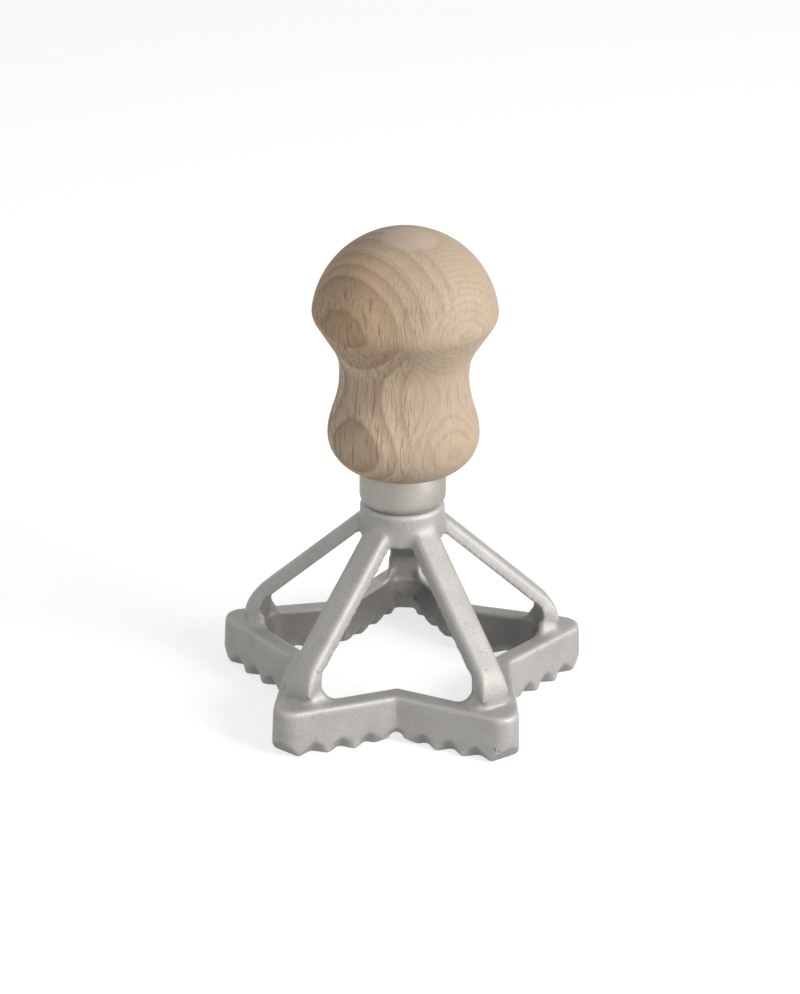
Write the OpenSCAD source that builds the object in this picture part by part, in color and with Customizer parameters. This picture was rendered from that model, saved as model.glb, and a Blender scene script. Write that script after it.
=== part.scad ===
// Star-shaped ravioli stamp: a turned wooden knob on a metal ferrule, screwed to a cast
// aluminium frame whose five arms carry a star-shaped cutting ring with a zigzag edge.
// The axis of the knob is +Z, the cutting edge lies in z = 0 and one star point looks to +Y.

/* [Star ring] */
// Radius at which the two outer faces of a point would meet if it weren't rounded
point_r = 42.4; // [41.5:0.1:43.5]
// Radius of the notches between the points, as a share of that radius
notch_share = 0.566; // [0.556:0.002:0.576]
// Rounding of the nose of each point
nose_round = 4; // [3.5:0.1:4.3]
// Rounding of the pocket inside each point
pocket_round = 5.5; // [5.3:0.1:5.8]
// Thickness of the star's walls
wall = 4.2; // [4.0:0.1:4.4]
// Height of the ring
ring_h = 9.9; // [9.5:0.1:10.5]

/* [Zigzag edge] */
// Grooves along the outside of one wall, between the notch and the point
grooves = 3; // [2:1:4]
// Length without a groove, from the sharp corner of a point to its first groove
point_free = 9.9; // [9.6:0.1:10.2]
// How far the edge swings across the wall
swing = 1.5; // [1.3:0.05:1.6]
// Width of the flat cutting edge, square to the wall
edge_w = 0.75; // [0.7:0.05:0.9]
// How far the outer teeth stand back from the outer face
edge_inset = 0.65; // [0.6:0.05:0.8]
// How far the root of the groove at a notch is filled with a narrow flat
root_fill = 0.15; // [0.1:0.05:0.3]
// Steepness of the grooves outside
slope_out = 57; // [55:1:60]
// Steepness of the grooves inside
slope_in = 52; // [50:1:55]
// How far the flat edge across a nose stands back from the nose
nose_inset = 2.25; // [2:0.05:2.5]
// Width of the slot under each point at that edge, as a share of its width at the last teeth
slot_share = 0.745; // [0.7:0.005:0.8]
// Steepness of that slot
slope_slot = 43; // [41:1:45]

/* [Arms and hub] */
// Width of an arm at its inner face
arm_w = 6.75; // [6.5:0.05:7]
// Lean of an arm's sides, which narrow it towards its outer face
arm_lean = 13.5; // [12:0.5:15]
// Radius of the roundings along its outer face
arm_round = 1.25; // [1.1:0.05:1.3]
// How far the upright inner face of an arm's foot stands back from the pocket
foot_step = 0.2; // [0.1:0.05:0.4]
// How far the foot's outer face stands back from the nose
foot_inset = 5.35; // [5:0.05:5.6]
// Height of the corner where the upright inner face turns into the sloping one
knee_z = 15; // [14.8:0.1:15.2]
// Depth of an arm, square to its slope
arm_t = 2.75; // [2.65:0.05:3.2]
// Radius of the outer bend above the foot
bend_r = 8.5; // [8:0.25:9]
// Fillet between the sides of an arm's foot and the top of the ring
foot_fillet = 2.4; // [2:0.1:2.6]
// Height of the hub's underside
hub_z = 34.8; // [34.4:0.1:35.2]
// How far the arms' undersides lie below it where they meet the hub
arm_drop = 0.15; // [0.1:0.05:0.3]
// Height of the hub itself
hub_h = 7.3; // [7:0.1:7.8]
// How far the hub stands back from the ferrule on it
hub_step = 0.15; // [0.1:0.05:0.3]
// Chamfer round the hub's top
hub_chamfer = 0.7; // [0.6:0.05:0.8]

/* [Ferrule] */
// Radius of the ferrule
ferrule_r = 8.65; // [8.5:0.05:8.8]
// Height of the ferrule
ferrule_h = 7.4; // [7:0.1:7.8]
// Thickness of its wall and floor
ferrule_wall = 1.2; // [1:0.1:1.4]
// Radius of the rounding at its foot
ferrule_round = 2.5; // [2.3:0.1:2.7]
// How much the rounding draws the foot in
ferrule_draw = 0.7; // [0.6:0.05:0.8]

/* [Handle] */
// How far the handle's foot stands out over the ferrule
foot_lip = 0.65; // [0.5:0.05:0.8]
// Radius of the bulge above it
bulge_r = 15.1; // [14.9:0.1:15.4]
// Height from the foot to the bulge's widest line
bulge_up = 7.4; // [7:0.1:7.8]
// Radius of the neck at its narrowest
neck_r = 12.8; // [12.5:0.05:13]
// Height from the bulge to the neck
neck_up = 12.5; // [12.1:0.1:12.9]
// Radius at the foot of the cap, where its underside turns into the neck
cap_foot_r = 13.95; // [13.7:0.05:14.2]
// Height from the neck to that line
cap_foot_up = 5.3; // [5:0.1:5.6]
// Radius of the cap at its widest
cap_r = 18.25; // [18:0.05:18.5]
// Height from the cap's foot to its widest line
cap_up = 7.9; // [7.6:0.1:8.2]
// Rounding of the cap's rim
rim_round = 4; // [3.6:0.1:4.4]
// Height of the dome above the widest line
dome_up = 16.3; // [15.8:0.1:16.8]
// Gap between the tenon and the ferrule around it
tenon_gap = 0.05; // [0.03:0.01:0.1]

/* [Screw] */
// Radius of the screw's shank and thread
screw_r = 1.95; // [1.8:0.05:2.1]
// Length of the screw
screw_len = 31.2; // [28:0.5:34]
// Radius of its countersunk head
head_r = 3.9; // [3.7:0.1:4.1]
// Height of the cylindrical lip of the head
head_lip = 0.5; // [0.4:0.1:0.7]
// Depth of the cross recess in the head
recess_depth = 1.5; // [1.2:0.1:1.7]
// Width of the cross recess
recess_w = 0.9; // [0.8:0.05:1]
// Clearance between the screw's shank and its holes in the metal
screw_gap = 0.2; // [0.15:0.05:0.3]
// Clearance between the screw's head and its seat
seat_gap = 0.04; // [0.03:0.01:0.1]
// Clearance between the screw and its hole in the wood
wood_gap = 0.05; // [0.03:0.01:0.1]

/* [Hidden] */
// The star. Its points are 72 degrees apart, with the notches half way.
half_turn = 36;
notch_r = notch_share * point_r;
corner_run = point_r - notch_r * cos(half_turn);
corner_rise = notch_r * sin(half_turn);
nose_half = atan2(corner_rise, corner_run);
wall_len = norm([corner_run, corner_rise]);
nose_end = point_r - nose_round / sin(nose_half) + nose_round;
pocket_end = point_r - (wall + pocket_round) / sin(nose_half) + pocket_round;
// The edge. The cutters reach a little past the wall's two faces.
pitch = (wall_len - point_free) / grooves;
nose_r = nose_end - nose_inset;
spare = 0.5;
reach_out = 1 + (edge_inset + spare) / swing;
reach_in = (wall - edge_inset - edge_w + spare) / swing;
// The arms run from the foot to the hub.
foot_in = pocket_end + foot_step;
foot_out = nose_end - foot_inset;
hub_r = ferrule_r - hub_step;
arm_slope = atan2(hub_z - arm_drop - knee_z, foot_in - hub_r);
arm_start = (hub_r + head_r) / 2;
arm_narrow = tan(arm_lean);
arm_outer = arm_w / 2 - arm_t * arm_narrow;
foot_sink = 1.5;
hub_top = hub_z + hub_h;
// The handle and the screw.
ferrule_top = hub_top + ferrule_h;
tenon_r = ferrule_r - ferrule_wall - tenon_gap;
tenon_z = hub_top + ferrule_wall + tenon_gap;
screw_top = hub_z + screw_len;

// Place on a wall by its distance from the point's sharp corner and from the outer face.
function on_wall(s, inward) = [
  point_r - s * cos(nose_half) - inward * sin(nose_half),
  s * sin(nose_half) - inward * cos(nose_half)
];

// Points of a circular arc between two angles.
function arc(c, r, a0, a1, n) = [
  for (i = [0 : n])
    c + r * [cos(a0 + (a1 - a0) * i / n), sin(a0 + (a1 - a0) * i / n)]
];

// Points of a smooth curve between two ends, pulled towards two handles.
function curve(p0, p1, p2, p3, n) = [
  for (i = [1 : n])
    let (t = i / n, q = 1 - t)
      q * q * q * p0 + 3 * q * q * t * p1 + 3 * q * t * t * p2 + t * t * t * p3
];

module on_points() {
  for (k = [0 : 4])
    rotate([0, 0, 90 + 72 * k])
      children();
}

module both_walls() {
  for (m = [0, 1])
    mirror([0, m, 0])
      children();
}

// Puts a wall's own frame in place: x runs from the point to the notch, y points inwards.
module along_wall(s, inward) {
  translate([point_r, 0, 0])
    rotate([0, 0, 180 - nose_half])
      translate([s, inward, 0])
        children();
}

module star_2d(inset, round_r) {
  offset(r = round_r, $fn = 72)
    offset(delta = -round_r - inset)
      polygon([
        for (k = [0 : 4])
          each [
            point_r * [cos(90 + 72 * k), sin(90 + 72 * k)],
            notch_r * [cos(126 + 72 * k), sin(126 + 72 * k)]
          ]
      ]);
}

// Outline of a groove that opens outwards, in the plane square to its root.
module outer_vee() {
  depth = reach_out * swing * sin(slope_out);
  half = reach_out * pitch / 2;
  polygon([[0, 0], [-half, -depth], [half, -depth]]);
}

// One groove of the outside. Its root rises outwards from the edge to the outer face.
module outer_groove(s) {
  along_wall(s, edge_inset + swing)
    rotate([90 - slope_out, 0, 0])
      translate([0, 0, -pitch / 2])
        linear_extrude(height = pitch / 2 + 1.5 * (edge_inset + swing) / cos(slope_out))
          outer_vee();
}

// One groove of the inside. The last one stops at its tooth on the side of the point,
// where the slot under the point takes over.
module inner_groove(s, last) {
  depth = swing * sin(slope_in);
  side = last ? 1 : reach_in;
  along_wall(s, edge_inset + edge_w)
    rotate([slope_in - 90, 0, 0])
      translate([0, 0, -pitch / 2])
        linear_extrude(height = pitch / 2 + 1.5 * wall / cos(slope_in))
          polygon([
            [0, 0],
            [reach_in * pitch / 2, reach_in * depth],
            [-side * pitch / 2, reach_in * depth],
            [-side * pitch / 2, side * depth]
          ]);
}

// Half of the groove at a notch, seen from one wall: its near flank runs on past the root.
module notch_half() {
  depth = swing * sin(slope_out);
  along_wall(wall_len, edge_inset + swing)
    rotate([90 - slope_out, 0, 0])
      translate([0, 0, -pitch / 2])
        linear_extrude(height = pitch / 2 + 1.5 * (edge_inset + swing) / cos(slope_out))
          polygon([
            [-reach_out * pitch / 2, -reach_out * depth],
            [pitch / 2, depth],
            [pitch / 2, -reach_out * depth]
          ]);
}

// The two halves meet in a root that rises outwards to the crease of the notch.
module notch_groove() {
  bend = 90 - nose_half - half_turn;
  root_y = (edge_inset + swing) / (1 - 2 * swing / pitch * tan(bend));
  root_run = root_y / cos(bend);
  root_rise = (edge_inset + swing) * tan(slope_out);
  intersection() {
    notch_half();
    rotate([0, 0, half_turn])
      mirror([0, 1, 0])
        rotate([0, 0, -half_turn])
          notch_half();
    rotate([0, 0, half_turn])
      translate([notch_r - root_run + root_fill, 0, 0])
        rotate([0, 90 - atan2(root_rise, root_run), 0])
          translate([0, -pitch, -pitch])
            cube([2 * pitch, 2 * pitch, 4 * pitch]);
  }
}

// Chamfer across the nose of a point.
module nose_chamfer() {
  translate([nose_r, 0, 0])
    rotate([0, 90 - slope_out, 0])
      translate([0, -2 * nose_round, -nose_round])
        cube([2 * nose_inset + nose_round, 4 * nose_round, ring_h + nose_round]);
}

// Slot under a point. It starts behind the flat edge across the nose, opens to the last
// inner teeth and rises inwards until it has left the pocket.
module point_slot() {
  tooth = on_wall(point_free, edge_inset + swing + edge_w);
  start = nose_r - edge_w;
  half = slot_share * tooth[1];
  reach = start - pocket_end + wall;
  flare = (tooth[1] - half) * reach / (start - tooth[0]);
  translate([start, 0, 0])
    rotate([0, slope_slot - 90, 0])
      translate([0, 0, -pitch / 2])
        linear_extrude(height = pitch / 2 + reach / cos(slope_slot))
          polygon([
            [0, -half],
            [0, half],
            [-reach * sin(slope_slot), half + flare],
            [-reach * sin(slope_slot), -half - flare]
          ]);
}

module edge_cuts() {
  on_points() {
    both_walls() {
      for (i = [1 : grooves]) {
        outer_groove(wall_len - i * pitch);
        inner_groove(wall_len - (i - 0.5) * pitch, i == grooves);
      }
    }
    notch_groove();
    nose_chamfer();
    point_slot();
  }
}

module ring() {
  difference() {
    linear_extrude(height = ring_h)
      difference() {
        star_2d(0, nose_round);
        star_2d(wall, pocket_round);
      }
    edge_cuts();
  }
}

// Side view of an arm: x is the radius, y the height. It starts inside the hub and runs
// a little outside the arm's flat faces, which the two bars below give.
module arm_side() {
  rise = tan(arm_slope);
  corner = [foot_out, knee_z + arm_t / cos(arm_slope) - (foot_out - foot_in) * rise];
  center = corner - [bend_r, bend_r * tan((90 - arm_slope) / 2)];
  polygon(concat(
    [
      [foot_in, ring_h - foot_sink],
      [foot_in, knee_z - spare],
      [arm_start, knee_z - 3 * spare + (foot_in - arm_start) * rise],
      [arm_start, corner[1] + 2 * spare + (foot_out - arm_start) * rise]
    ],
    arc(center, bend_r, 90 - arm_slope, 0, 12),
    [[foot_out + spare / 2, ring_h - foot_sink]]
  ));
}

// Section of an arm: x is the depth from the inner face, y the width. The sides lean in
// towards the outer face, and a circle rounds each of its two outer corners.
module arm_section(depth) {
  half = arm_outer + depth * arm_narrow;
  center_y = arm_outer + arm_round * arm_narrow - arm_round / cos(arm_lean);
  polygon(concat(
    [[0, -half], [0, half]],
    arc([depth - arm_round, center_y], arm_round, 90 - arm_lean, 0, 6),
    arc([depth - arm_round, -center_y], arm_round, 0, arm_lean - 90, 6)
  ));
}

module arm() {
  foot_t = foot_out - foot_in + foot_sink;
  intersection() {
    rotate([90, 0, 0])
      translate([0, 0, -arm_w])
        linear_extrude(height = 2 * arm_w)
          arm_side();
    union() {
      translate([foot_out - foot_t, 0, 0])
        linear_extrude(height = knee_z)
          arm_section(foot_t);
      translate([foot_in, 0, knee_z])
        rotate([0, arm_slope - 90, 0])
          translate([0, 0, -2 * foot_t])
            linear_extrude(height = 2 * foot_t + (foot_in + foot_t) / cos(arm_slope))
              arm_section(arm_t);
    }
  }
}

// Fillet along one side of an arm's foot, kept inside the outline of the ring.
module foot_fillet_bar() {
  half = arm_outer + (foot_out - foot_in) * arm_narrow;
  edge = 1.1;
  wide = (point_r - foot_in) * tan(nose_half) - edge;
  narrow = (point_r - foot_out) * tan(nose_half) - edge;
  intersection() {
    translate([foot_in, half, ring_h])
      rotate([0, 0, -arm_lean])
        rotate([90, 0, 90])
          translate([0, 0, spare / 5])
            linear_extrude(height = foot_out - foot_in - 2 * spare)
              polygon(concat(
                [[-spare, foot_fillet], [-spare, -spare], [foot_fillet, -spare]],
                arc([foot_fillet, foot_fillet], foot_fillet, 270, 180, 6)
              ));
    linear_extrude(height = knee_z)
      polygon([[foot_in, 0], [foot_out, 0], [foot_out, narrow], [foot_in, wide]]);
  }
}

module foot_fillets() {
  foot_fillet_bar();
  mirror([0, 1, 0])
    foot_fillet_bar();
}

module arms() {
  on_points() {
    arm();
    foot_fillets();
  }
}

module hub() {
  translate([0, 0, hub_z])
    cylinder(r = hub_r, h = hub_h - hub_chamfer, $fn = 96);
  translate([0, 0, hub_top - hub_chamfer])
    cylinder(r1 = hub_r, r2 = hub_r - hub_chamfer, h = hub_chamfer, $fn = 96);
}

module screw_hole() {
  seat_r = head_r + seat_gap;
  hole_r = screw_r + screw_gap;
  translate([0, 0, hub_z - 1])
    cylinder(r = hole_r, h = hub_h + 2, $fn = 48);
  translate([0, 0, hub_z - 1])
    cylinder(r = seat_r, h = 1 + head_lip, $fn = 48);
  translate([0, 0, hub_z + head_lip])
    cylinder(r1 = seat_r, r2 = hole_r, h = seat_r - hole_r, $fn = 48);
}

module cutter_frame() {
  color([0.72, 0.71, 0.69])
    difference() {
      union() {
        ring();
        arms();
        hub();
      }
      screw_hole();
    }
}

// A shallow cup that sits on the hub and takes the handle's tenon.
module ferrule() {
  span = acos(1 - ferrule_draw / ferrule_round);
  rise = ferrule_round * sin(span);
  color([0.66, 0.65, 0.62])
    translate([0, 0, hub_top])
      difference() {
        rotate_extrude($fn = 96)
          polygon(concat(
            [[0, 0]],
            arc([ferrule_r - ferrule_round, rise], ferrule_round, -span, 0, 8),
            [[ferrule_r, ferrule_h], [0, ferrule_h]]
          ));
        translate([0, 0, ferrule_wall])
          cylinder(r = ferrule_r - ferrule_wall, h = ferrule_h, $fn = 96);
        translate([0, 0, -1])
          cylinder(r = screw_r + screw_gap, h = ferrule_wall + 2, $fn = 48);
      }
}

// Half outline of the turned knob, from its foot up. The cap's underside is a straight
// cone that touches the rounded rim, and the rim runs smoothly into the ball of the dome.
function knob_outline() =
  let (
    foot = [ferrule_r + foot_lip, ferrule_top],
    bulge = [bulge_r, foot[1] + bulge_up],
    neck = [neck_r, bulge[1] + neck_up],
    crease = [cap_foot_r, neck[1] + cap_foot_up],
    rim = [cap_r - rim_round, crease[1] + cap_up],
    dome_r = (dome_up * dome_up + rim[0] * rim[0] - rim_round * rim_round) / (2 * (dome_up - rim_round)),
    dome = [0, rim[1] + dome_up - dome_r],
    away = crease - rim,
    cone_touch = atan2(away[1], away[0]) + acos(rim_round / norm(away)),
    dome_touch = atan2(rim[1] - dome[1], rim[0]),
    foot_pull = [0.55 * (bulge_r - foot[0]), 0.13 * bulge_up],
    crease_pull = [0.74 * (cap_foot_r - neck_r), 0.36 * cap_foot_up]
  )
  concat(
    [foot],
    curve(foot, foot + foot_pull, bulge - [0, 0.49 * bulge_up], bulge, 10),
    curve(bulge, bulge + [0, 0.34 * neck_up], neck - [0, 0.48 * neck_up], neck, 12),
    curve(neck, neck + [0, 0.49 * cap_foot_up], crease - crease_pull, crease, 6),
    arc(rim, rim_round, cone_touch, dome_touch, 8),
    [for (p = arc(dome, dome_r, dome_touch, 90, 24)) if (p[1] > rim[1] + spare) [max(p[0], 0), p[1]]]
  );

module handle() {
  color([0.78, 0.66, 0.53])
    difference() {
      union() {
        rotate_extrude($fn = 96)
          polygon(concat([[0, ferrule_top]], knob_outline()));
        translate([0, 0, tenon_z])
          cylinder(r = tenon_r, h = ferrule_top - tenon_z + 1, $fn = 96);
      }
      translate([0, 0, tenon_z - 1])
        cylinder(r = screw_r + wood_gap, h = screw_top - tenon_z + 1.5, $fn = 48);
    }
}

// Wood screw that enters from below and holds frame, ferrule and handle together.
module handle_screw() {
  tip = 2 * screw_r;
  recess = 0.56 * head_r;
  color([0.62, 0.62, 0.64])
    translate([0, 0, hub_z])
      difference() {
        rotate_extrude($fn = 48)
          polygon([
            [0, 0],
            [head_r, 0],
            [head_r, head_lip],
            [screw_r, head_lip + head_r - screw_r],
            [screw_r, screw_len - tip],
            [0, screw_len]
          ]);
        for (a = [0, 90])
          rotate([0, 0, a])
            translate([-recess, -recess_w / 2, -recess_depth])
              cube([2 * recess, recess_w, 2 * recess_depth]);
      }
}

cutter_frame();
ferrule();
handle();
handle_screw();
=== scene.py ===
import math
from types import SimpleNamespace

import bmesh
import bpy
import numpy as np
from mathutils import Matrix, Vector


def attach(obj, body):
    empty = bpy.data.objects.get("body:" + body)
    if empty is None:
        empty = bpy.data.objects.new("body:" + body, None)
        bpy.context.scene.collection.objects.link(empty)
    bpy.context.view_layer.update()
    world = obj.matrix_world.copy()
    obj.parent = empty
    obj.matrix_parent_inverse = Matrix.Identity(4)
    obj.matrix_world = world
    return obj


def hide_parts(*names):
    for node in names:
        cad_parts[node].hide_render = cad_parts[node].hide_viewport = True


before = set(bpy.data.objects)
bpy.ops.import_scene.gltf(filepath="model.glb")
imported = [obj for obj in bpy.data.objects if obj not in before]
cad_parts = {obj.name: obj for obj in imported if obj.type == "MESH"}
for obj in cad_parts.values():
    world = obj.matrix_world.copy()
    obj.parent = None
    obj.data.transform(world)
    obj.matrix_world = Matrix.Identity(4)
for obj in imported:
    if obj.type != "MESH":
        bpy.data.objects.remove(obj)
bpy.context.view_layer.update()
scene = bpy.context.scene
mm = 0.001
print("frame loaded")


# node helpers: those that add a step of a pattern give back its output socket

def addNode(tree, kind, **settings):
    node = tree.nodes.new(kind)
    for name, value in settings.items():
        if name in node.inputs:
            node.inputs[name].default_value = value
        else:
            setattr(node, name, value)
    return node


def feed(tree, socket, value):
    # an output is linked, a number or a colour is written into the socket
    if isinstance(value, bpy.types.NodeSocket):
        tree.links.new(value, socket)
    elif isinstance(value, tuple) and socket.type == "RGBA":
        socket.default_value = (*value, 1)
    else:
        socket.default_value = value


def mathNode(tree, operation, *values):
    node = addNode(tree, "ShaderNodeMath", operation=operation)
    for socket, value in zip(node.inputs, values):
        feed(tree, socket, value)
    return node.outputs[0]


def times(tree, first, second):
    return mathNode(tree, "MULTIPLY", first, second)


def plus(tree, first, second):
    return mathNode(tree, "ADD", first, second)


def timesPlus(tree, first, factor, rest):
    return mathNode(tree, "MULTIPLY_ADD", first, factor, rest)


def greyRamp(tree, factor, stops):
    node = addNode(tree, "ShaderNodeValToRGB")
    elements = node.color_ramp.elements
    while len(elements) < len(stops):
        elements.new(0.5)
    for element, (position, grey) in zip(elements, stops):
        element.position = position
        element.color = (grey, grey, grey, 1)
    tree.links.new(factor, node.inputs[0])
    return node.outputs[0]


def mixColour(tree, factor, first, second):
    node = addNode(tree, "ShaderNodeMix", data_type="RGBA", clamp_factor=True)
    for index, value in zip((0, 6, 7), (factor, first, second)):
        feed(tree, node.inputs[index], value)
    return node.outputs[2]


def scaled(tree, vector, factors, offset=(0, 0, 0)):
    mapping = addNode(tree, "ShaderNodeMapping", Scale=factors, Location=offset)
    tree.links.new(vector, mapping.inputs["Vector"])
    return mapping.outputs[0]


def objectMillimetres(tree):
    return scaled(tree, addNode(tree, "ShaderNodeTexCoord").outputs["Object"], (1000, 1000, 1000))


def noiseNode(tree, vector, factors, detail, roughness, offset=(0, 0, 0)):
    node = addNode(tree, "ShaderNodeTexNoise", Scale=1.0, Detail=detail, Roughness=roughness)
    tree.links.new(scaled(tree, vector, factors, offset), node.inputs["Vector"])
    return node.outputs["Fac"]


def rangeNode(tree, value, low, high, toLow=0.0, toHigh=1.0, curve="SMOOTHSTEP"):
    node = addNode(tree, "ShaderNodeMapRange", interpolation_type=curve)
    for name, number in (("From Min", low), ("From Max", high), ("To Min", toLow), ("To Max", toHigh)):
        node.inputs[name].default_value = number
    tree.links.new(value, node.inputs["Value"])
    return node.outputs[0]


def bumpNode(tree, height, distance, strength):
    node = addNode(tree, "ShaderNodeBump", Strength=strength, Distance=distance)
    tree.links.new(height, node.inputs["Height"])
    return node.outputs[0]


def newMaterial(name):
    material = bpy.data.materials.new(name)
    material.use_nodes = True
    tree = material.node_tree
    return material, tree, tree.nodes["Principled BSDF"]


def makeMetalSkin():
    # wide clouds and a fine grain, for every metal of the tool
    group = bpy.data.node_groups.new("metalSkin", "ShaderNodeTree")
    group.interface.new_socket("Place", in_out="INPUT", socket_type="NodeSocketVector")
    for name in ("Cloud Scale", "Cloud Detail", "Grain Scale", "Grain Detail", "Grain Harshness",
                 "Roughness", "Cloud Spread", "Grain Spread"):
        group.interface.new_socket(name, in_out="INPUT", socket_type="NodeSocketFloat")
    for name in ("Cloud", "Grain", "Roughness"):
        group.interface.new_socket(name, in_out="OUTPUT", socket_type="NodeSocketFloat")
    given = addNode(group, "NodeGroupInput").outputs
    cloud = addNode(group, "ShaderNodeTexNoise", Roughness=0.6)
    grain = addNode(group, "ShaderNodeTexNoise")
    for node, name in ((cloud, "Cloud"), (grain, "Grain")):
        feed(group, node.inputs["Vector"], given["Place"])
        feed(group, node.inputs["Scale"], given[name + " Scale"])
        feed(group, node.inputs["Detail"], given[name + " Detail"])
    feed(group, grain.inputs["Roughness"], given["Grain Harshness"])
    rough = timesPlus(group, cloud.outputs["Fac"], given["Cloud Spread"], given["Roughness"])
    rough = timesPlus(group, grain.outputs["Fac"], given["Grain Spread"], rough)
    result = addNode(group, "NodeGroupOutput").inputs
    feed(group, result["Cloud"], cloud.outputs["Fac"])
    feed(group, result["Grain"], grain.outputs["Fac"])
    feed(group, result["Roughness"], rough)
    return group


metalSkin = makeMetalSkin()


def placeMetalSkin(tree, place, values):
    node = addNode(tree, "ShaderNodeGroup", node_tree=metalSkin)
    tree.links.new(place, node.inputs["Place"])
    for name, value in values.items():
        node.inputs[name].default_value = value
    return node.outputs["Cloud"], node.outputs["Grain"], node.outputs["Roughness"]


# mesh helpers

def pieceFromBmesh(name, bm, material, smoothAngle=None):
    bmesh.ops.recalc_face_normals(bm, faces=bm.faces)
    mesh = bpy.data.meshes.new(name)
    bm.to_mesh(mesh)
    bm.free()
    piece = bpy.data.objects.new(name, mesh)
    scene.collection.objects.link(piece)
    mesh.materials.append(material)
    mesh.shade_smooth()
    if smoothAngle is not None:
        mesh.set_sharp_from_angle(angle=math.radians(smoothAngle))
    return piece


def turnedPiece(name, outline, steps, material, smoothAngle):
    # an outline in the XZ plane, in mm, turned once round the Z axis; one that starts off the
    # axis is closed first
    bm = bmesh.new()
    points = [bm.verts.new((r * mm, 0, z * mm)) for r, z in outline]
    edges = [bm.edges.new((points[i], points[i + 1])) for i in range(len(points) - 1)]
    if outline[0][0] > 0:
        edges.append(bm.edges.new((points[-1], points[0])))
    bmesh.ops.spin(bm, geom=points + edges, cent=(0, 0, 0), axis=(0, 0, 1), angle=2 * math.pi,
                   steps=steps, use_merge=True, use_duplicate=False)
    bmesh.ops.remove_doubles(bm, verts=bm.verts, dist=0.002 * mm)
    return pieceFromBmesh(name, bm, material, smoothAngle)


def arcPoints(centre, radius, start, end, count):
    angles = [math.radians(start + (end - start) * i / count) for i in range(count + 1)]
    return [(centre[0] + radius * math.cos(a), centre[1] + radius * math.sin(a)) for a in angles]


def curvePoints(first, firstPull, secondPull, second, count):
    points = []
    for i in range(1, count + 1):
        t = i / count
        weights = ((1 - t) ** 3, 3 * t * (1 - t) ** 2, 3 * t * t * (1 - t), t ** 3)
        points.append(tuple(sum(w * p[k] for w, p in zip(weights, (first, firstPull, secondPull, second)))
                            for k in (0, 1)))
    return points


# the beech knob

beech = {
    "pale": (0.452, 0.368, 0.275), "tan": (0.72, 0.515, 0.335), "waist": (0.95, 0.775, 0.585),
    "grey": (0.42, 0.355, 0.265), "dark": (0.33, 0.215, 0.135), "fleck": (0.25, 0.155, 0.095),
    "crown": (0.52, 0.41, 0.34),
    # wide years: depth of each line in mm from the axis towards the left front
    "years": (17.2, 13.7, 11.8, 9.4, 8.85, 5.6, 2.7, -0.3, -3.1, -6.2, -9.0, -12.3, -15.4),
    "yearSpan": 18.5, "leftWay": (-0.662, -0.75), "leftShift": -0.35,
    # fine years: they start close together round an oval at the right front
    "rightYears": 2.35, "rightStart": 18.65, "rightWay": (0.682, -0.731), "rightGrowth": 0.75,
    # the border between the two, which bulges to the right below the crown
    "borderHeight": 91.0, "borderOut": 9.6, "borderFall": -0.16, "borderIn": 2.0,
    "leftShade": 0.62, "rightShade": 0.36, "yearShade": 0.10, "fibreShade": 0.30,
    "fleckShade": 0.56, "rightFleckShade": 0.30, "waistShade": 0.65,
    # end grain at the crown: middle in mm, then how fast it fades along x and y
    "crownMiddle": (0.6, -2.5), "crownFade": (0.16, 0.19), "crownShade": 0.62,
    "roughness": 0.62, "shine": 0.32, "relief": 0.08 * mm,
}


def wideYears(tree, depth):
    # each year darkens slowly and ends in a crisp line
    span = beech["yearSpan"]
    share = rangeNode(tree, depth, span, -span, curve="LINEAR")
    stops = [(0.0, 0.25)]
    for year in beech["years"]:
        at = (span - year) / (2 * span)
        stops += [(at - 0.004, 1.0), (at + 0.005, 0.12)]
    return times(tree, mathNode(tree, "POWER", greyRamp(tree, share, stops), 1.9), beech["leftShade"])


def fineYears(tree, depth, sway):
    away = mathNode(tree, "SUBTRACT", beech["rightStart"], timesPlus(tree, sway, 0.3, depth))
    grown = mathNode(tree, "POWER", mathNode(tree, "MAXIMUM", away, 0.001), beech["rightGrowth"])
    phase = times(tree, grown, beech["rightYears"])
    year = addNode(tree, "ShaderNodeTexWhiteNoise", noise_dimensions="1D")
    tree.links.new(mathNode(tree, "FLOOR", phase), year.inputs["W"])
    line = greyRamp(tree, mathNode(tree, "FRACT", phase),
                    ((0.0, 0.9), (0.10, 0.3), (0.3, 0.05), (0.72, 0.12), (0.9, 0.7), (1.0, 1.0)))
    return timesPlus(tree, line, beech["rightShade"], times(tree, year.outputs["Value"], beech["yearShade"]))


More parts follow.
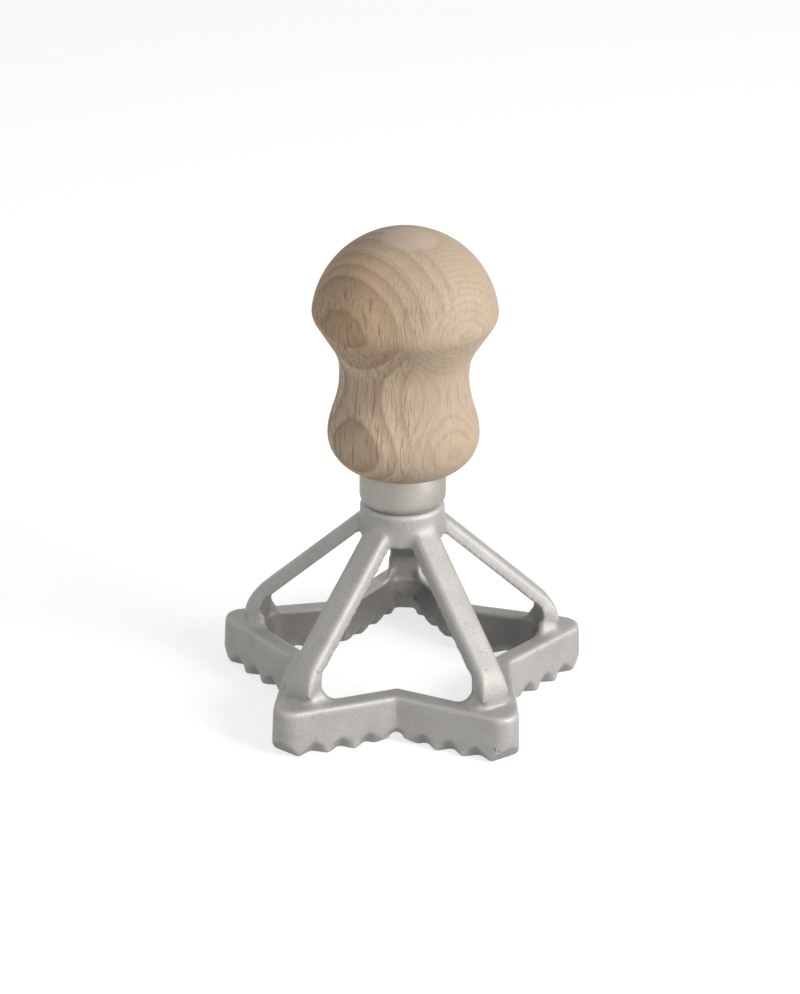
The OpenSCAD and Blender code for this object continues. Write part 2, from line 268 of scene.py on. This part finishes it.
def makeBeech():
    b = beech
    material, tree, shader = newMaterial("rawBeech")
    place = objectMillimetres(tree)
    parts = addNode(tree, "ShaderNodeSeparateXYZ")
    tree.links.new(place, parts.inputs[0])
    x, y, z = parts.outputs
    sway = timesPlus(tree, noiseNode(tree, place, (0.07, 0.07, 0.03), 2.0, 0.5), 2.2, -1.1)
    ripple = noiseNode(tree, place, (0.9, 0.9, 0.3), 3.0, 0.6)
    patch = noiseNode(tree, place, (0.11, 0.11, 0.07), 3.0, 0.6, (4, 9, 2))

    # the knob shows two families of years: wide ones to the left front, fine ones to the right
    left = timesPlus(tree, x, b["leftWay"][0], times(tree, y, b["leftWay"][1]))
    left = timesPlus(tree, ripple, 0.7, plus(tree, left, b["leftShift"]))
    left = timesPlus(tree, sway, 0.35, left)
    right = timesPlus(tree, x, b["rightWay"][0], times(tree, y, b["rightWay"][1]))
    right = timesPlus(tree, ripple, 0.35, right)
    fromTop = mathNode(tree, "SUBTRACT", z, b["borderHeight"])
    border = timesPlus(tree, times(tree, fromTop, fromTop), b["borderFall"], b["borderOut"])
    beyond = mathNode(tree, "SUBTRACT", x, mathNode(tree, "MAXIMUM", border, b["borderIn"]))
    side = rangeNode(tree, timesPlus(tree, ripple, 2.0, beyond), -0.4, 2.4)

    # fibres and the fine dark rays run along the knob, a little wavy
    bend = noiseNode(tree, place, (0.12, 0.12, 0.09), 2.0, 0.5, (3, 8, 1))
    wavy = addNode(tree, "ShaderNodeCombineXYZ")
    for socket, value in zip(wavy.inputs, (timesPlus(tree, bend, 3.0, x), timesPlus(tree, bend, -2.0, y), z)):
        feed(tree, socket, value)
    grain = wavy.outputs[0]
    fibre = noiseNode(tree, grain, (3.0, 3.0, 0.2), 3.0, 0.65)
    rays = noiseNode(tree, grain, (3.0, 0.6, 0.11), 1.0, 0.5, (7, 3, 11))
    fineRays = noiseNode(tree, grain, (5.0, 1.0, 0.19), 1.0, 0.5, (1, 6, 4))
    fleck = mathNode(tree, "MAXIMUM", rangeNode(tree, rays, 0.57, 0.67),
                     times(tree, rangeNode(tree, fineRays, 0.56, 0.66), 0.6))
    sideShade = timesPlus(tree, side, b["rightFleckShade"] - b["fleckShade"], b["fleckShade"])
    onSlope = rangeNode(tree, z, 88.0, 95.0, 1.0, 0.35)  # weaker where the dome cuts the grain
    fleck = times(tree, fleck, times(tree, onSlope, sideShade))

    # colour: tan at the left and pale deep inside, as the wood has; the change from left to right is partly
    # the wood's own and partly painted light, brighter and warmer on the shaded left, darker and greyer on
    # the lit right; paler at the waist
    paleDepth = rangeNode(tree, timesPlus(tree, patch, 5.0, left), 16.0, 7.0)
    sideToneAndLight = rangeNode(tree, timesPlus(tree, patch, 6.0, x), -6.0, 6.5)
    base = mixColour(tree, mathNode(tree, "MAXIMUM", paleDepth, sideToneAndLight), b["tan"], b["pale"])
    base = mixColour(tree, rangeNode(tree, patch, 0.45, 0.75, 0.0, 0.3), base, b["grey"])
    # the waist is paler as the wood is, and its lift grows towards the left as painted light on the shaded
    # side
    waist = times(tree, rangeNode(tree, z, 79.0, 74.0), rangeNode(tree, z, 47.0, 58.0))
    waist = times(tree, waist, rangeNode(tree, x, 7.0, -8.0))
    base = mixColour(tree, times(tree, waist, b["waistShade"]), base, b["waist"])
    lines = plus(tree, times(tree, wideYears(tree, left), mathNode(tree, "SUBTRACT", 1.0, side)),
                 times(tree, fineYears(tree, right, sway), side))
    base = mixColour(tree, lines, base, b["dark"])
    base = mixColour(tree, rangeNode(tree, fibre, 0.35, 0.75, 0.0, b["fibreShade"]), base, b["dark"])
    base = mixColour(tree, fleck, base, b["fleck"])
    crownX = times(tree, mathNode(tree, "SUBTRACT", x, b["crownMiddle"][0]), b["crownFade"][0])
    crownY = times(tree, mathNode(tree, "SUBTRACT", y, b["crownMiddle"][1]), b["crownFade"][1])
    crownAt = plus(tree, times(tree, crownX, crownX), times(tree, crownY, crownY))
    crown = times(tree, rangeNode(tree, crownAt, 0.95, 0.5), rangeNode(tree, z, 94.0, 96.0))
    base = mixColour(tree, times(tree, crown, b["crownShade"]), base, b["crown"])

    feed(tree, shader.inputs["Base Color"], base)
    feed(tree, shader.inputs["Roughness"], b["roughness"])
    feed(tree, shader.inputs["Specular IOR Level"], b["shine"])
    height = plus(tree, times(tree, fibre, 0.7), times(tree, fleck, -0.7))
    feed(tree, shader.inputs["Normal"], bumpNode(tree, height, b["relief"], 0.7))
    return material


knob = {
    "turnSteps": 168,
    "footRadius": 9.3, "footHeight": 49.5,
    "bulge": (15.1, 56.9), "neck": (12.8, 69.4), "crease": (13.95, 74.7),
    "capRadius": 18.25, "rimHeight": 82.6, "rimRound": 4.0, "top": 98.9,
    "tenonRadius": 7.4, "tenonHeight": 43.35, "boreRadius": 2.0, "boreTop": 66.5,
}


def makeKnob():
    k = knob
    foot = (k["footRadius"], k["footHeight"])
    bulge, neck, crease = k["bulge"], k["neck"], k["crease"]
    rim = (k["capRadius"] - k["rimRound"], k["rimHeight"])
    # the dome is the ball that meets the rim's round without a kink and ends at the top
    domeUp = k["top"] - rim[1]
    domeRadius = (domeUp ** 2 + rim[0] ** 2 - k["rimRound"] ** 2) / (2 * (domeUp - k["rimRound"]))
    dome = (0, k["top"] - domeRadius)
    away = (crease[0] - rim[0], crease[1] - rim[1])
    coneTouch = math.degrees(math.atan2(away[1], away[0]) + math.acos(k["rimRound"] / math.hypot(*away)))
    domeTouch = math.degrees(math.atan2(rim[1] - dome[1], rim[0]))
    outline = [(0, k["boreTop"]), (k["boreRadius"], k["boreTop"]), (k["boreRadius"], k["tenonHeight"]),
               (k["tenonRadius"], k["tenonHeight"]), (k["tenonRadius"], foot[1]),
               (foot[0] - 0.25, foot[1]), (foot[0] - 0.05, foot[1] + 0.08)]
    first = (foot[0] + 0.12, foot[1] + 0.24)
    outline += [first]
    outline += curvePoints(first, (foot[0] + 3.2, foot[1] + 0.97), (bulge[0], bulge[1] - 3.63), bulge, 22)
    outline += curvePoints(bulge, (bulge[0], bulge[1] + 4.2), (neck[0], neck[1] - 6.0), neck, 26)
    outline += curvePoints(neck, (neck[0], neck[1] + 2.6), (crease[0] - 0.85, crease[1] - 1.9), crease, 12)
    outline += arcPoints(rim, k["rimRound"], coneTouch, domeTouch, 14)
    outline += arcPoints(dome, domeRadius, domeTouch, 90, 44)[1:-1] + [(0, k["top"])]
    return turnedPiece("woodKnob", outline, k["turnSteps"], makeBeech(), 40)


# the ferrule

ferrule = {
    "radius": 8.65, "low": 42.1, "high": 49.5, "wall": 1.2, "footRound": 2.5, "footDraw": 0.7,
    "holeRadius": 2.15, "rimRound": 0.25, "turnSteps": 128,
    "colour": (0.335, 0.318, 0.290), "metallic": 0.85, "turningShade": 0.09, "relief": 0.015 * mm,
    "skin": {"Cloud Scale": 0.25, "Cloud Detail": 3.0, "Grain Scale": 5.0, "Grain Detail": 2.0,
             "Grain Harshness": 0.6, "Roughness": 0.40, "Cloud Spread": 0.12, "Grain Spread": 0.06},
}


def makeFerruleMetal():
    f = ferrule
    material, tree, shader = newMaterial("satinFerrule")
    place = objectMillimetres(tree)
    cloud, grain, rough = placeMetalSkin(tree, place, f["skin"])
    turning = noiseNode(tree, place, (0.06, 0.06, 7.0), 2.0, 0.6)
    light, dark = (tuple(c * share for c in f["colour"]) for share in (1.14, 0.7))
    base = mixColour(tree, rangeNode(tree, cloud, 0.35, 0.7), f["colour"], light)
    base = mixColour(tree, rangeNode(tree, turning, 0.3, 0.75, 0.0, f["turningShade"]), base, dark)
    feed(tree, shader.inputs["Base Color"], base)
    feed(tree, shader.inputs["Metallic"], f["metallic"])
    feed(tree, shader.inputs["Roughness"], rough)
    feed(tree, shader.inputs["Normal"], bumpNode(tree, plus(tree, turning, grain), f["relief"], 0.5))
    return material


def makeFerrule():
    f = ferrule
    span = math.degrees(math.acos(1 - f["footDraw"] / f["footRound"]))
    rise = f["footRound"] * math.sin(math.radians(span))
    centre = (f["radius"] - f["footRound"], f["low"] + rise)
    inner, rim = f["radius"] - f["wall"], f["rimRound"]
    outline = [(f["holeRadius"], f["low"])]
    outline += arcPoints(centre, f["footRound"], -span, 0, 10)
    outline += [(f["radius"], f["high"] - rim), (f["radius"] - 0.08, f["high"] - 0.08),
                (f["radius"] - rim, f["high"]), (inner, f["high"]), (inner, f["low"] + f["wall"]),
                (f["holeRadius"], f["low"] + f["wall"])]
    return turnedPiece("metalFerrule", outline, f["turnSteps"], makeFerruleMetal(), 35)


# the cast frame: the solid's own shape, drafted, then softened as a casting is

casting = {
    "voxel": 0.385 * mm,
    # the star, as the solid has it; pointFree is the length at each nose that has no groove
    "pointRadius": 42.4 * mm, "notchRadius": 24.0 * mm, "noseRound": 4.0 * mm, "pointFree": 9.9 * mm,
    "wall": 4.2 * mm, "pocketRound": 5.5 * mm, "ringHeight": 9.9 * mm, "grooves": 3,
    # draft of the outer walls
    "topLean": 0.30 * mm, "leanFrom": 3.2 * mm,
    # fillets at the arms' feet, measured along the pocket's wall from the middle of the point
    "wingStart": 2.5 * mm, "wingFoot": 3.2 * mm, "wingEnd": 6.2 * mm, "wingRound": 2.4 * mm,
    "wingDepth": 1.7 * mm, "wingSkin": 0.03 * mm, "wingBase": 1.0 * mm, "wingLift": 0.02 * mm,
    "wingSteps": 18,
    # cutting edge
    "toothFlare": 0.75 * mm, "flareHeight": 1.6 * mm,
    "notchRise": 1.5 * mm, "notchHalf": 3.2 * mm, "notchReach": 26.288 * mm,
    # how often each kind of softening runs
    "softPasses": 2, "roundPasses": 9, "filletPasses": 28, "tipPasses": 4, "notchPasses": 32,
    "hollowPasses": 14,
    # the inner colour is painted shade for the recessed and downward faces
    "light": (0.425, 0.413, 0.395), "dark": (0.285, 0.275, 0.262), "inner": (0.175, 0.166, 0.156),
    "paintedCreaseShade": (0.22, 0.21, 0.2), "edgeWearAndHighlight": (0.6, 0.59, 0.57), "pit": (0.2, 0.19, 0.18),
    "metallic": 0.55, "relief": 0.12 * mm,
    "skin": {"Cloud Scale": 0.16, "Cloud Detail": 4.0, "Grain Scale": 3.2, "Grain Detail": 3.0,
             "Grain Harshness": 0.7, "Roughness": 0.5, "Cloud Spread": 0.10, "Grain Spread": 0.0},
    # small casting flaws on the front right point: x, y, z and radius in mm
    "flaws": ((19.4, -32.0, 3.1, 0.42), (20.4, -32.2, 2.7, 0.38), (21.3, -32.1, 9.8, 0.26),
              (22.2, -31.8, 6.4, 0.24), (22.2, -31.8, 5.4, 0.28)),
}

starStep = 2 * math.pi / 5
wallRun = casting["pointRadius"] - casting["notchRadius"] * math.cos(starStep / 2)
wallRise = casting["notchRadius"] * math.sin(starStep / 2)
wallLength = math.hypot(wallRun, wallRise)
normalAlong, normalAcross = wallRise / wallLength, wallRun / wallLength  # of a wall's outer face


def fade(values, start, end):
    # 0 up to the start and 1 from the end on, whichever of the two is larger
    return np.clip((values - start) / (end - start), 0, 1)


def onStar(points):
    # each point as its own star point sees it: along and across that point's axis, depth
    # behind the outer face, distance from the sharp corner along the wall, the outward
    # direction of the wall there, and the way to the notch
    c = casting
    angle = np.arctan2(points[:, 1], points[:, 0]) - math.pi / 2
    local = angle - starStep * np.round(angle / starStep)
    radius = np.hypot(points[:, 0], points[:, 1])
    along, across = radius * np.cos(local), radius * np.sin(local)
    fromTip = c["pointRadius"] - along
    noseCentre = c["pointRadius"] - c["noseRound"] / normalAlong
    onNose = (along - noseCentre) * normalAcross - np.abs(across) * normalAlong > 0
    fromCentre = np.maximum(np.hypot(along - noseCentre, across), 1e-9)
    return SimpleNamespace(
        local=local, turn=angle - local + math.pi / 2, along=along, across=across,
        depth=np.where(onNose, c["noseRound"] - fromCentre,
                       fromTip * normalAlong - np.abs(across) * normalAcross),
        distance=fromTip * normalAcross + np.abs(across) * normalAlong,
        outAlong=np.where(onNose, (along - noseCentre) / fromCentre, normalAlong),
        outAcross=np.where(onNose, across / fromCentre, np.sign(across) * normalAcross),
        fromNotch=np.hypot(along, across) * np.sin(starStep / 2 - np.abs(local)))


def pushed(points, star, amount, outAlong, outAcross):
    along, across = star.along + amount * outAlong, star.across + amount * outAcross
    points = points.copy()
    points[:, 0] = along * np.cos(star.turn) - across * np.sin(star.turn)
    points[:, 1] = along * np.sin(star.turn) + across * np.cos(star.turn)
    return points


def leanWalls(points):
    # the outer faces of the star lean in a little towards the top, as a mould needs
    c = casting
    star = onStar(points)
    height = points[:, 2]
    amount = c["topLean"] * fade(height, c["leanFrom"], c["ringHeight"])
    amount = amount * ((star.depth < 0.3 * mm) & (height < c["ringHeight"] + 0.01 * mm))
    # two walls meet at a notch, so its corner moves along the line between them
    atNotch = np.abs(np.abs(star.local) - starStep / 2) < 0.002
    notchPull = 1 / math.cos(math.pi / 2 - math.atan2(wallRise, wallRun) - starStep / 2)
    outAlong = np.where(atNotch, math.cos(starStep / 2) * notchPull, star.outAlong)
    outAcross = np.where(atNotch, np.sign(star.across) * math.sin(starStep / 2) * notchPull, star.outAcross)
    return pushed(points, star, -amount, outAlong, outAcross)


def flareTeeth(points):
    # the outer teeth come out to the wall's own face, and the edge bends back between them
    c = casting
    star = onStar(points)
    pitch = (wallLength - c["pointFree"]) / c["grooves"]
    wave = 0.5 - 0.5 * np.cos(2 * math.pi * (wallLength - star.distance) / pitch)
    wave = wave * fade(star.distance, c["pointFree"] - 0.3 * mm, c["pointFree"] + 0.3 * mm)
    fall = fade(points[:, 2], c["flareHeight"], 0) * (points[:, 2] < c["ringHeight"])
    points = pushed(points, star, c["toothFlare"] * wave * fall, star.outAlong, star.outAcross)
    # the groove at a notch runs straight through the wall
    near = (star.along < c["notchReach"]) & (points[:, 2] < c["notchRise"])
    root = c["notchRise"] * (1 - (star.fromNotch / c["notchHalf"]) ** 2)
    points[:, 2] = np.where(near, np.maximum(points[:, 2], root), points[:, 2])
    return points


def wingSection(run):
    # where the pocket's wall stands after this run along it, which way it faces, and how high
    # the fillet is there
    c = casting
    bendRound, wingRound = c["pocketRound"], c["wingRound"]
    centre = c["pointRadius"] - (c["wall"] + bendRound) / normalAlong
    bendLength = bendRound * math.acos(normalAlong)
    angle = min(run, bendLength) / bendRound
    past = max(run - bendLength, 0)
    out = (math.cos(angle), math.sin(angle))
    foot = (centre + bendRound * out[0] - past * normalAcross, bendRound * out[1] + past * normalAlong)
    left = min(max(wingRound - (run - c["wingFoot"]), 0), wingRound)
    rise = wingRound - math.sqrt(wingRound ** 2 - left ** 2)
    return foot, out, c["ringHeight"] + rise + c["wingLift"]


def addFootWings(bm):
    # fillets that follow the pocket's wall up to each arm; the voxels join them to the casting
    c = casting
    low = c["ringHeight"] - c["wingBase"]
    for arm in range(5):
        turn = Matrix.Rotation(math.pi / 2 + arm * starStep, 4, "Z")
        for side in (-1, 1):
            loops = []
            for step in range(c["wingSteps"] + 1):
                run = c["wingStart"] + (c["wingEnd"] - c["wingStart"]) * step / c["wingSteps"]
                foot, out, high = wingSection(run)
                corners = [bm.verts.new(turn @ Vector((foot[0] + into * out[0],
                                                       side * (foot[1] + into * out[1]), up)))
                           for into, up in ((c["wingSkin"], low), (c["wingSkin"], high),
                                            (c["wingDepth"], high), (c["wingDepth"], low))]
                loops.append([bm.edges.new((corners[i], corners[i - 1])) for i in range(4)])
            faces = []
            for first, second in zip(loops, loops[1:]):
                faces += bmesh.ops.bridge_loops(bm, edges=first + second)["faces"]
            faces += bmesh.ops.holes_fill(bm, edges=loops[0] + loops[-1], sides=4)["faces"]
            bmesh.ops.recalc_face_normals(bm, faces=faces)
            # the slightly warped quads are split alike on both sides of an arm
            split = "ALTERNATE" if side > 0 else "FIXED"
            bmesh.ops.triangulate(bm, faces=faces, quad_method=split)


def meshArrays(mesh):
    points = np.zeros(len(mesh.vertices) * 3)
    mesh.vertices.foreach_get("co", points)
    edges = np.zeros(len(mesh.edges) * 2, np.int64)
    mesh.edges.foreach_get("vertices", edges)
    return points.reshape(-1, 3), edges.reshape(-1, 2)


def vertexNormals(mesh, points):
    mesh.vertices.foreach_set("co", points.ravel())
    mesh.update()
    normals = np.zeros(len(points) * 3)
    mesh.vertex_normals.foreach_get("vector", normals)
    return normals.reshape(-1, 3)


def neighbourPull(points, net):
    # from each point to the middle of its neighbours
    edges, share = net
    total = np.zeros_like(points)
    for axis in range(3):
        total[:, axis] = (np.bincount(edges[:, 0], points[edges[:, 1], axis], len(points))
                          + np.bincount(edges[:, 1], points[edges[:, 0], axis], len(points)))
    return total * share - points


def relaxed(points, net, amount, passes):
    for _ in range(passes):
        points = points + amount * neighbourPull(points, net)
    return points


def softenCasting(mesh, points, net):
    c = casting
    points = relaxed(points, net, 0.5, c["softPasses"])
    # the ring's upper edges and the bends of the arms are rounder than the rest
    height = points[:, 2] / mm
    radius = np.hypot(points[:, 0], points[:, 1]) / mm
    depth = onStar(points).depth / mm
    rim = fade(height, 8.1, 9.3) * fade(height, 11.2, 10.2) * fade(depth, 2.4, 1.6)
    bend = fade(radius, 26.5, 29.0) * fade(height, 10.4, 11.4) * fade(height, 19.0, 16.5)
    points = relaxed(points, net, 0.5 * np.maximum(rim, bend)[:, None], c["roundPasses"])
    # inner corners fill up, but not those of the pockets
    corner = fade(height, 8.9, 9.9) * np.maximum(fade(depth, 2.6, 1.8), fade(height, 15.5, 16.3))
    for index in range(c["filletPasses"]):
        if index % 4 == 0:
            normals = vertexNormals(mesh, points)
        outwards = np.sum(neighbourPull(points, net) * normals, axis=1, keepdims=True)
        points = points + 0.6 * corner[:, None] * np.maximum(outwards, 0) * normals
    return relaxed(points, net, 0.4, 1)


def wearCuttingEdge(points, net):
    c = casting
    points = flareTeeth(points)
    tips = np.maximum(fade(points[:, 2] / mm, 1.5, 0.7), 0.2)
    points = relaxed(points, net, 0.4 * tips[:, None], c["tipPasses"])
    star = onStar(points)
    worn = fade(star.fromNotch / mm, 4.4, 3.0) * fade(points[:, 2] / mm, 2.8, 2.0)
    worn = worn * (star.along < c["notchReach"])
    points = relaxed(points, net, 0.5 * worn[:, None], c["notchPasses"])
    # the edge stands on the table
    height = points[:, 2] / mm
    points[:, 2] = np.maximum(height - 0.1 * fade(height, 0.7, 0.0), 0) * mm
    return points


def markCasting(mesh, points, net):
    # "hollow" says how far the surface bends in, "inner" where shade is painted into the colour: in the
    # pockets, on the legs' inner faces, under the arms and hub, and on the grooves' downward faces
    normals = vertexNormals(mesh, points)
    wide = relaxed(points, net, 0.6, casting["hollowPasses"])
    hollow = np.sum((wide - points) * normals, axis=1) / mm
    radius = np.maximum(np.hypot(points[:, 0], points[:, 1]), 1e-9)
    outwards = np.sum(normals[:, :2] * points[:, :2], axis=1) / radius
    upwards = normals[:, 2]
    height = points[:, 2] / mm
    pocket = fade(outwards, -0.15, -0.5) * fade(height, 10.6, 9.4)
    leg = 0.75 * fade(outwards, -0.4, -0.75) * fade(height, 9.4, 10.4) * (height < 18)
    under = fade(upwards, -0.25, -0.65) * fade(height, 9.0, 11.0)
    groove = 0.7 * fade(upwards, -0.12, -0.47) * fade(height, 3.8, 3.2)
    inner = np.maximum.reduce((pocket, leg, under, groove))
    for name, values in (("hollow", hollow), ("inner", inner)):
        layer = mesh.attributes.new(name, "FLOAT", "POINT")
        layer.data.foreach_set("value", values.astype(np.float32))


def makeCastFrame():
    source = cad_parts["cutter_frame"]
    bm = bmesh.new()
    bm.from_mesh(source.data)
    bmesh.ops.remove_doubles(bm, verts=bm.verts, dist=0.0005 * mm)
    leaned = leanWalls(np.array([vert.co[:] for vert in bm.verts]))
    for vert, point in zip(bm.verts, leaned):
        vert.co = point
    addFootWings(bm)
    joined = bpy.data.meshes.new("castFrame")
    bm.to_mesh(joined)
    bm.free()
    piece = bpy.data.objects.new("castFrame", joined)
    scene.collection.objects.link(piece)
    remesh = piece.modifiers.new("voxels", "REMESH")
    remesh.mode = "VOXEL"
    remesh.voxel_size = casting["voxel"]
    remesh.use_smooth_shade = True
    depsgraph = bpy.context.evaluated_depsgraph_get()
    finished = bpy.data.meshes.new_from_object(piece.evaluated_get(depsgraph))
    piece.modifiers.clear()
    piece.data = finished
    bpy.data.meshes.remove(joined)
    finished.name = "castFrame"
    points, edges = meshArrays(finished)
    neighbours = np.bincount(edges.ravel(), minlength=len(points))
    net = (edges, (1 / np.maximum(neighbours, 1))[:, None])
    points = softenCasting(finished, points, net)
    points = wearCuttingEdge(points, net)
    markCasting(finished, points, net)
    finished.materials.clear()
    finished.materials.append(makeCastMetal())
    finished.shade_smooth()
    print("cast frame:", len(finished.vertices), "points")
    return piece


def makeCastMetal():
    c = casting
    material, tree, shader = newMaterial("blastedCasting")
    place = objectMillimetres(tree)
    cloud, blast, rough = placeMetalSkin(tree, place, c["skin"])
    speck = noiseNode(tree, place, (1.5, 1.5, 1.5), 2.0, 0.5, (5, 1, 8))
    pit = rangeNode(tree, speck, 0.70, 0.78)
    for *spot, size in c["flaws"]:
        away = addNode(tree, "ShaderNodeVectorMath", operation="DISTANCE")
        tree.links.new(place, away.inputs[0])
        away.inputs[1].default_value = spot
        flaw = timesPlus(tree, speck, 0.5 * size, away.outputs["Value"])
        pit = mathNode(tree, "MAXIMUM", pit, rangeNode(tree, flaw, size * 1.25, size * 0.7, 0.0, 1.6))
    hollow = addNode(tree, "ShaderNodeAttribute", attribute_name="hollow").outputs["Fac"]
    inner = addNode(tree, "ShaderNodeAttribute", attribute_name="inner").outputs["Fac"]
    base = mixColour(tree, rangeNode(tree, cloud, 0.3, 0.72, 0.0, 0.35), c["light"], c["dark"])
    base = mixColour(tree, rangeNode(tree, blast, 0.33, 0.68, 0.0, 0.5), base, c["dark"])
    # painted shade: the inner colour darkens the pockets, the legs' inner faces, the undersides of arms and
    # hub, and the grooves' downward faces
    base = mixColour(tree, times(tree, inner, 0.8), base, c["inner"])
    # painted shade in the creases; convex edges are made lighter, partly as worn edges and partly as a
    # painted highlight
    base = mixColour(tree, times(tree, rangeNode(tree, hollow, 0.03, 0.35), 0.45), base, c["paintedCreaseShade"])
    base = mixColour(tree, times(tree, rangeNode(tree, hollow, -0.05, -0.35), 0.5), base, c["edgeWearAndHighlight"])
    base = mixColour(tree, times(tree, pit, 0.35), base, c["pit"])
    feed(tree, shader.inputs["Base Color"], base)
    feed(tree, shader.inputs["Metallic"], c["metallic"])
    feed(tree, shader.inputs["Roughness"], rough)
    height = mathNode(tree, "SUBTRACT", blast, times(tree, pit, 1.4))
    feed(tree, shader.inputs["Normal"], bumpNode(tree, height, c["relief"], 0.8))
    return material


# the screw keeps the solid's own mesh

steel = {
    "dull": (0.46, 0.46, 0.47), "bright": (0.62, 0.62, 0.62), "metallic": 0.95, "relief": 0.01 * mm,
    "skin": {"Cloud Scale": 0.8, "Cloud Detail": 3.0, "Grain Scale": 6.0, "Grain Detail": 2.0,
             "Grain Harshness": 0.6, "Roughness": 0.24, "Cloud Spread": 0.15, "Grain Spread": 0.0},
}


def makeScrewSteel():
    material, tree, shader = newMaterial("platedSteel")
    cloud, grain, rough = placeMetalSkin(tree, objectMillimetres(tree), steel["skin"])
    base = mixColour(tree, rangeNode(tree, cloud, 0.35, 0.7), steel["dull"], steel["bright"])
    feed(tree, shader.inputs["Base Color"], base)
    feed(tree, shader.inputs["Metallic"], steel["metallic"])
    feed(tree, shader.inputs["Roughness"], rough)
    feed(tree, shader.inputs["Normal"], bumpNode(tree, grain, steel["relief"], 0.4))
    return material


# camera, light and table

view = {
    "place": (0.01312843, -0.54894904, 0.291776),
    "right": (0.99945084, 0.03060045, 0.01271362),
    "up": (-0.02422162, 0.41282835, 0.91048672),
    "look": (-0.02261276, 0.91029466, -0.41334283),
    "lens": 135.58, "sensor": 36.0,
}

lights = {
    # place, aimed at, width, height, watts, colour
    "keyRight": ((0.629, -0.335, 0.393), (0.0, 0.0, 0.03), 0.4, 0.45, 7.6, (1.0, 0.99, 0.975)),
    "fillLeft": ((-0.6, -0.45, 0.35), (0.0, 0.0, 0.04), 0.5, 0.5, 0.5, (0.98, 0.99, 1.0)),
    "front": ((0.25, -0.8, 0.22), (0.0, 0.0, 0.03), 0.6, 0.35, 0.6, (1.0, 0.995, 0.985)),
    "above": ((0.0, 0.1, 0.8), (0.0, 0.0, 0.03), 0.6, 0.6, 0.6, (1.0, 1.0, 1.0)),
}

studio = {
    "floor": (0.5, 0.5, 0.497), "floorSize": 3.0, "floorLift": 0.72, "floorRoughness": 0.9,
    "floorShine": 0.1, "table": -0.0002, "white": (1.0, 1.0, 1.0), "surround": 0.2,
}


def makeCamera():
    camera = bpy.data.cameras.new("camera")
    camera.sensor_fit = "HORIZONTAL"
    camera.sensor_width = view["sensor"]
    camera.lens = view["lens"]
    camera.clip_end = 20
    holder = bpy.data.objects.new("camera", camera)
    scene.collection.objects.link(holder)
    right, up, look = (Vector(view[name]).normalized() for name in ("right", "up", "look"))
    axes = Matrix((right, up, -look)).transposed().to_4x4()
    holder.matrix_world = Matrix.Translation(Vector(view["place"])) @ axes
    scene.camera = holder


def makeLights():
    for name, (place, target, width, height, watts, colour) in lights.items():
        lamp = bpy.data.lights.new(name, "AREA")
        lamp.shape = "RECTANGLE"
        lamp.size, lamp.size_y = width, height
        lamp.energy = watts
        lamp.color = colour
        holder = bpy.data.objects.new(name, lamp)
        scene.collection.objects.link(holder)
        holder.location = place
        holder.rotation_euler = (Vector(target) - Vector(place)).to_track_quat("-Z", "Y").to_euler()


def seenWhite(tree):
    # rays of the camera, and those that metal or glass sends on
    path = addNode(tree, "ShaderNodeLightPath").outputs
    seen = mathNode(tree, "MAXIMUM", path["Is Camera Ray"], path["Is Glossy Ray"])
    return mathNode(tree, "MAXIMUM", seen, path["Is Transmission Ray"])


def makeTable():
    material, tree, shader = newMaterial("paleTable")
    feed(tree, shader.inputs["Base Color"], studio["floor"])
    feed(tree, shader.inputs["Roughness"], studio["floorRoughness"])
    feed(tree, shader.inputs["Specular IOR Level"], studio["floorShine"])
    glow = addNode(tree, "ShaderNodeEmission")
    feed(tree, glow.inputs["Strength"], times(tree, seenWhite(tree), studio["floorLift"]))
    both = addNode(tree, "ShaderNodeAddShader")
    feed(tree, both.inputs[0], shader.outputs[0])
    feed(tree, both.inputs[1], glow.outputs[0])
    feed(tree, tree.nodes["Material Output"].inputs["Surface"], both.outputs[0])
    bm = bmesh.new()
    bmesh.ops.create_grid(bm, x_segments=1, y_segments=1, size=studio["floorSize"])
    bmesh.ops.translate(bm, verts=bm.verts, vec=(0, 0, studio["table"]))
    return pieceFromBmesh("table", bm, material)


def makeWorld():
    # white where it is seen, a soft even light for the rest
    world = bpy.data.worlds.new("studio")
    scene.world = world
    world.use_nodes = True
    tree = world.node_tree
    tree.nodes.clear()
    white = addNode(tree, "ShaderNodeBackground", Strength=1.0)
    soft = addNode(tree, "ShaderNodeBackground", Strength=studio["surround"])
    for background in (white, soft):
        feed(tree, background.inputs["Color"], studio["white"])
    mix = addNode(tree, "ShaderNodeMixShader")
    for socket, value in zip(mix.inputs, (seenWhite(tree), soft.outputs[0], white.outputs[0])):
        feed(tree, socket, value)
    feed(tree, addNode(tree, "ShaderNodeOutputWorld").inputs["Surface"], mix.outputs[0])


makeCamera()
makeLights()
table = makeTable()
makeWorld()
print("studio ready")

woodKnob = makeKnob()
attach(woodKnob, "root")
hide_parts("handle")
print("knob turned")

metalFerrule = makeFerrule()
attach(metalFerrule, "root")
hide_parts("ferrule")
print("ferrule turned")

castFrame = makeCastFrame()
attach(castFrame, "root")
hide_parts("cutter_frame")

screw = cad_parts["handle_screw"]
screw.data.materials.clear()
screw.data.materials.append(makeScrewSteel())
print("screw finished")

scene.view_settings.view_transform = "Standard"
